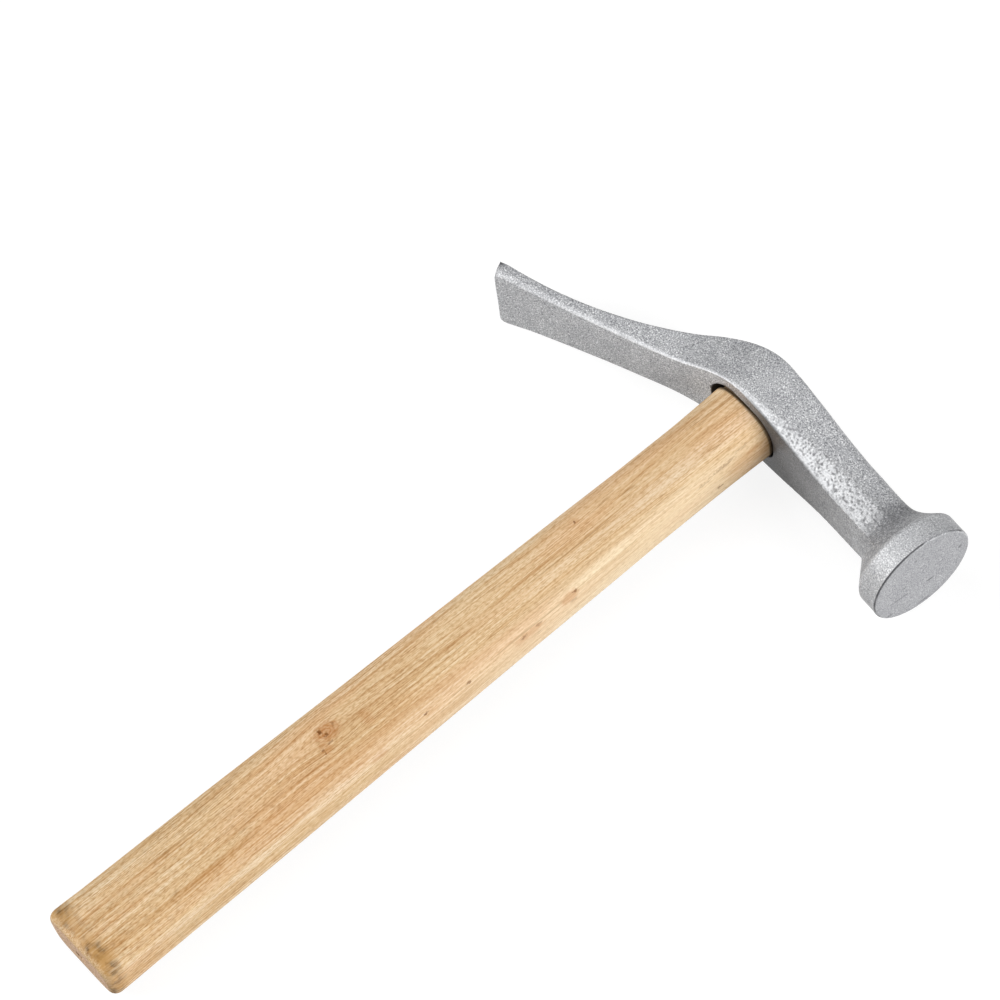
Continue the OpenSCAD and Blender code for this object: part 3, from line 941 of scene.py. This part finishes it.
# The knot, with its whorls, and the specks with brown wood around them, all with ragged edges. Each
# spot has its middle, its radii and its strength.
tatter_mm = 0.9
ragged = put(tree, "ShaderNodeTexNoise", {}, {"Vector": place_mm, "Scale": 1 / tatter_mm, "Detail": 1.0})
ragged_off = put(tree, "ShaderNodeVectorMath", {"operation": "MULTIPLY_ADD"}, {
    0: ragged.outputs["Color"], 1: (1.2, 1.8, 1.2), 2: (-0.6, -0.9, -0.6)})
ragged_mm = put(tree, "ShaderNodeVectorMath", {"operation": "ADD"}, {
    0: place_mm, 1: ragged_off.outputs[0]}).outputs[0]
halos = (
    ((-3.0, 178.0, 8.0), (9.0, 48.0, 5.0), 0.11), ((10.0, 85.0, 8.5), (4.5, 80.0, 4.5), 0.24),
    ((10.2, 213.0, 1.5), (2.0, 11.0, 6.0), 0.26),
    ((-1.9, 82.4, 8.8), (3.2, 4.2, 2.0), 0.42), ((1.8, 79.0, 8.8), (2.2, 2.0, 2.0), 0.35),
    ((2.0, 92.0, 8.8), (3.0, 2.0, 2.0), 0.25), ((-4.1, 165.7, 8.4), (1.6, 2.2, 2.0), 0.3),
    ((9.9, 152.0, 5.0), (2.0, 3.5, 2.5), 0.4), ((10.1, 138.0, 4.0), (2.0, 6.0, 2.0), 0.35),
    ((10.8, 106.0, 6.5), (2.0, 4.0, 2.5), 0.25), ((11.0, 88.6, 5.0), (2.0, 4.0, 2.0), 0.35),
)
whorl_off = put(tree, "ShaderNodeVectorMath", {"operation": "SUBTRACT"}, {0: ragged_mm, 1: knot_at})
whorl_share = put(tree, "ShaderNodeVectorMath", {"operation": "DIVIDE"}, {
    0: whorl_off.outputs[0], 1: (1.0, 1.4, 4.0)})
whorl_reach = put(tree, "ShaderNodeVectorMath", {"operation": "LENGTH"}, {0: whorl_share.outputs[0]})
whorl = put(tree, "ShaderNodeMath", {"operation": "PINGPONG"}, {0: whorl_reach.outputs["Value"], 1: 0.4})
whorl_line = put(tree, "ShaderNodeMapRange", {}, {
    "Value": whorl.outputs[0], "From Min": 0.28, "From Max": 0.05, "To Max": 0.6})
whorl_fade = put(tree, "ShaderNodeMapRange", {}, {
    "Value": whorl_reach.outputs["Value"], "From Min": 3.4, "From Max": 1.2})
whorl_mix = put(tree, "ShaderNodeMath", {"operation": "MULTIPLY"}, {
    0: whorl_line.outputs[0], 1: whorl_fade.outputs[0]})
tone = put(tree, "ShaderNodeMix", {"data_type": "RGBA"}, {
    0: whorl_mix.outputs[0], 6: tone, 7: linear("#9A5A26")}).outputs[2]
tone = put(tree, "ShaderNodeMix", {"data_type": "RGBA"}, {
    0: spot_mask(tree, ragged_mm, halos), 6: tone, 7: linear("#B0733B")}).outputs[2]
specks = (
    ((-2.9, 80.6, 8.8), (0.9, 0.7, 1.5), 0.9), ((-1.1, 81.5, 8.8), (0.5, 0.6, 1.5), 0.7),
    ((1.1, 80.8, 8.8), (0.4, 1.0, 1.5), 0.6), ((1.6, 78.2, 8.8), (0.6, 0.5, 1.5), 0.6),
    ((2.7, 78.1, 8.8), (0.5, 0.4, 1.5), 0.6), ((-2.6, 84.6, 8.8), (1.3, 0.35, 1.5), 0.4),
    ((-4.1, 165.7, 8.4), (0.45, 0.6, 1.5), 0.7), ((9.6, 153.8, 5.5), (1.0, 1.0, 0.6), 0.65),
    ((10.0, 153.0, 2.6), (1.5, 1.6, 0.9), 0.3), ((10.0, 141.3, 4.6), (1.2, 1.6, 0.5), 0.35),
    ((10.1, 136.2, 4.3), (1.2, 1.2, 0.8), 0.55), ((10.3, 118.1, 4.6), (1.2, 0.9, 0.8), 0.65),
    ((10.7, 108.2, 8.4), (1.5, 0.7, 0.6), 0.6), ((10.8, 104.0, 5.9), (1.5, 0.7, 0.7), 0.7),
    ((8.1, 211.6, 6.7), (0.45, 3.0, 0.6), 0.2), ((8.8, 204.5, 6.0), (0.4, 5.5, 0.6), 0.36),
    ((9.1, 197.8, 5.4), (0.5, 3.0, 0.5), 0.26), ((9.8, 202.3, -0.3), (1.5, 1.6, 0.5), 0.6),
)
tone = put(tree, "ShaderNodeMix", {"data_type": "RGBA"}, {
    0: spot_mask(tree, ragged_mm, specks), 6: tone, 7: linear("#6A3C0A")}).outputs[2]

# Painted shadow in the eye's mouth, the sawn ends with their pores on end, and the varnish
end_pore_mm = 0.5
gap_shadow = put(tree, "ShaderNodeAttribute", {"attribute_name": "mouth_dirt"}).outputs["Fac"]
gap_shadow_share = put(tree, "ShaderNodeMath", {"operation": "MULTIPLY"}, {0: gap_shadow, 1: 0.85})
tone = put(tree, "ShaderNodeMix", {"data_type": "RGBA"}, {
    0: gap_shadow_share.outputs[0], 6: tone, 7: linear("#3C2C1C")}).outputs[2]
ends = put(tree, "ShaderNodeAttribute", {"attribute_name": "end_grain"}).outputs["Fac"]
end_dots = put(tree, "ShaderNodeTexNoise", {}, {
    "Vector": place_mm, "Scale": 1 / end_pore_mm, "Detail": 2.0})
end_tone = put(tree, "ShaderNodeValToRGB", {"stops": [
    (0.35, "#A5805B"), (0.5, "#D2AC89"), (0.65, "#E6C5A5")]}, {"Fac": end_dots.outputs["Fac"]})
tone = put(tree, "ShaderNodeMix", {"data_type": "RGBA"}, {
    0: ends, 6: tone, 7: end_tone.outputs["Color"]}).outputs[2]
pore_bump = put(tree, "ShaderNodeBump", {}, {"Strength": 0.5, "Distance": 0.05 * MM, "Height": pores})
varnish_gloss = put(tree, "ShaderNodeMapRange", {}, {
    "Value": stripes, "From Min": 0.3, "From Max": 0.7, "To Min": 0.68, "To Max": 0.56})
wood_shader = put(tree, "ShaderNodeBsdfPrincipled", {}, {
    "Base Color": tone, "Roughness": varnish_gloss.outputs[0], "Normal": pore_bump.outputs["Normal"],
    "Specular IOR Level": 0.22, "Coat Weight": 0.03, "Coat Roughness": 0.45})
put(tree, "ShaderNodeOutputMaterial", {}, {"Surface": wood_shader.outputs["BSDF"]})
handle.data.materials.append(ash)
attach(handle, "root")
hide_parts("handle")

# Wooden wedge: a sawn sliver of beech, darker than the handle. It is driven into the kerf in the
# tenon's end, so that the tenon fills the width of the eye, and it is cut off level with the tenon.

# Bare sawn beech: short dark pores on a warm brown, with no varnish and so no sheen
beech_pore_mm = 0.6
beech, tree = new_material("sawn_beech")
place = put(tree, "ShaderNodeTexCoord")
place_mm = put(tree, "ShaderNodeVectorMath", {"operation": "SCALE"}, {
    0: place.outputs["Object"], "Scale": 1 / MM}).outputs[0]
wedge_dots = put(tree, "ShaderNodeTexNoise", {}, {
    "Vector": place_mm, "Scale": 1 / beech_pore_mm, "Detail": 3.0})
wedge_tone = put(tree, "ShaderNodeValToRGB", {"stops": [
    (0.3, "#6E4B2C"), (0.5, "#94683F"), (0.7, "#AF8355")]}, {"Fac": wedge_dots.outputs["Fac"]})
wedge_bump = put(tree, "ShaderNodeBump", {}, {
    "Strength": 0.6, "Distance": 0.08 * MM, "Height": wedge_dots.outputs["Fac"]})
beech_shader = put(tree, "ShaderNodeBsdfPrincipled", {}, {
    "Base Color": wedge_tone.outputs["Color"], "Roughness": 0.75, "Normal": wedge_bump.outputs["Normal"]})
put(tree, "ShaderNodeOutputMaterial", {}, {"Surface": beech_shader.outputs["BSDF"]})
wood_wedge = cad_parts["wood_wedge"]
wood_wedge.data.materials.clear()
wood_wedge.data.materials.append(beech)

# Steel wedges: two pieces cropped from rolled mild steel strip, with a taper. They are driven in
# across the wooden wedge, one behind the other, so that the tenon fills the length of the eye.

# Bare rolled mild steel: grey and dull, with darker patches of scale
scale_mm = 0.9
strip, tree = new_material("rolled_mild_steel")
place = put(tree, "ShaderNodeTexCoord")
place_mm = put(tree, "ShaderNodeVectorMath", {"operation": "SCALE"}, {
    0: place.outputs["Object"], "Scale": 1 / MM}).outputs[0]
scale_marks = put(tree, "ShaderNodeTexNoise", {}, {
    "Vector": place_mm, "Scale": 1 / scale_mm, "Detail": 3.0})
scale_tone = put(tree, "ShaderNodeValToRGB", {"stops": [
    (0.3, "#5E5C5A"), (0.5, "#8E8D8C"), (0.7, "#B3B3B3")]}, {"Fac": scale_marks.outputs["Fac"]})
scale_bump = put(tree, "ShaderNodeBump", {}, {
    "Strength": 0.5, "Distance": 0.05 * MM, "Height": scale_marks.outputs["Fac"]})
strip_shader = put(tree, "ShaderNodeBsdfPrincipled", {}, {
    "Base Color": scale_tone.outputs["Color"], "Metallic": 1.0, "Roughness": 0.48,
    "Normal": scale_bump.outputs["Normal"]})
put(tree, "ShaderNodeOutputMaterial", {}, {"Surface": strip_shader.outputs["BSDF"]})
for name in ("steel_wedge_front", "steel_wedge_back"):
    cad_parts[name].data.materials.clear()
    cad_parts[name].data.materials.append(strip)

# Floor: a plain white board. It leans a little, because the hammer rests on three places: the
# poll's rim, a corner of the claw's tip and the butt.
poll_rest = Vector((60.0, 222.3, -poll_r))
claw_rest = Vector((-72.5, 198.2, -11.7))
butt_rest = Vector((0.0, 4.0, -8.9))
up = (poll_rest - butt_rest).cross(claw_rest - butt_rest).normalized()
floor_half = 4.0  # in metres, as are the places of the lamps and the camera
floor_gap = 0.1
floor_corners = [(x * floor_half, y * floor_half, 0) for x, y in ((-1, -1), (1, -1), (1, 1), (-1, 1))]
floor_mesh = bpy.data.meshes.new("floor")
floor_mesh.from_pydata(floor_corners, [], [(0, 1, 2, 3)])
floor = bpy.data.objects.new("floor", floor_mesh)
bpy.context.scene.collection.objects.link(floor)
floor.rotation_mode = "QUATERNION"
floor.rotation_quaternion = Vector((0, 0, 1)).rotation_difference(up)
floor.location = ((butt_rest + poll_rest) / 2 - up * floor_gap) * MM

# White board: matt and grey to the lamps, so that it throws little light back on the hammer. The
# camera and reflections see it as white paper, with the hammer's soft shadow still on it.
paper_white = 0.8
paper_glow = 1.1
board, tree = new_material("white_board")
rays = put(tree, "ShaderNodeLightPath")
seen = put(tree, "ShaderNodeMath", {"operation": "MAXIMUM"}, {
    0: rays.outputs["Is Camera Ray"], 1: rays.outputs["Is Glossy Ray"]})
seen_all = put(tree, "ShaderNodeMath", {"operation": "MAXIMUM"}, {
    0: seen.outputs[0], 1: rays.outputs["Is Transmission Ray"]})
paper_share = put(tree, "ShaderNodeMath", {"operation": "MULTIPLY"}, {
    0: seen_all.outputs[0], 1: paper_white})
board_tone = put(tree, "ShaderNodeMix", {"data_type": "RGBA"}, {
    0: seen_all.outputs[0], 6: linear("#7C7C7C"), 7: linear("#F0F0F0")})
matt = put(tree, "ShaderNodeBsdfDiffuse", {}, {"Color": board_tone.outputs[2]})
paper = put(tree, "ShaderNodeEmission", {}, {"Color": linear("#FFFFFF"), "Strength": paper_glow})
board_mix = put(tree, "ShaderNodeMixShader", {}, {
    0: paper_share.outputs[0], 1: matt.outputs[0], 2: paper.outputs[0]})
put(tree, "ShaderNodeOutputMaterial", {}, {"Surface": board_mix.outputs[0]})
floor.data.materials.append(board)

# Studio light: a plain pale room with four large soft lamps. A strong one stands above the butt and
# the claw, another beside the poll, and two weak ones overhead and behind the head.
room_glow = 0.07
room = bpy.data.worlds.new("pale_room")
room.use_nodes = True
room.node_tree.nodes["Background"].inputs["Color"].default_value = linear("#FFFFFF")
room.node_tree.nodes["Background"].inputs["Strength"].default_value = room_glow
bpy.context.scene.world = room
object_middle = Vector((0.0, 0.14, 0.0))
lamp_distance = 2.0
lamp_d = 1.2
lamps = {
    "key_lamp": ((-0.54, -0.65, 0.53), 37.0),
    "side_lamp": ((0.91, 0.16, 0.36), 49.0),
    "top_lamp": ((-0.35, -0.05, 0.93), 9.5),
    "back_lamp": ((-0.3, 0.93, 0.2), 2.8),
}
for name, (direction, watts) in lamps.items():
    lamp = bpy.data.lights.new(name, "AREA")
    lamp.shape = "DISK"
    lamp.size = lamp_d
    lamp.energy = watts
    stand = bpy.data.objects.new(name, lamp)
    bpy.context.scene.collection.objects.link(stand)
    stand.location = object_middle + Vector(direction).normalized() * lamp_distance
    stand.rotation_euler = (object_middle - stand.location).to_track_quat("-Z", "Y").to_euler()

# Camera: a long lens above the hammer, on the side of its butt and its poll, and rolled a little
camera_at = Vector((0.51417, -0.19101, 1.14778))
aim_at = Vector((-0.02574, 0.15889, 0.0))
camera_roll = math.radians(-9.12)
lens = bpy.data.cameras.new("camera")
lens.sensor_width = 36.0
lens.lens = 186.048
camera = bpy.data.objects.new("camera", lens)
bpy.context.scene.collection.objects.link(camera)
aimed = (aim_at - camera_at).to_track_quat("-Z", "Y").to_matrix() @ Matrix.Rotation(camera_roll, 3, "Z")
camera.matrix_world = Matrix.Translation(camera_at) @ aimed.to_4x4()
bpy.context.scene.camera = camera
bpy.context.scene.view_settings.view_transform = "Standard"
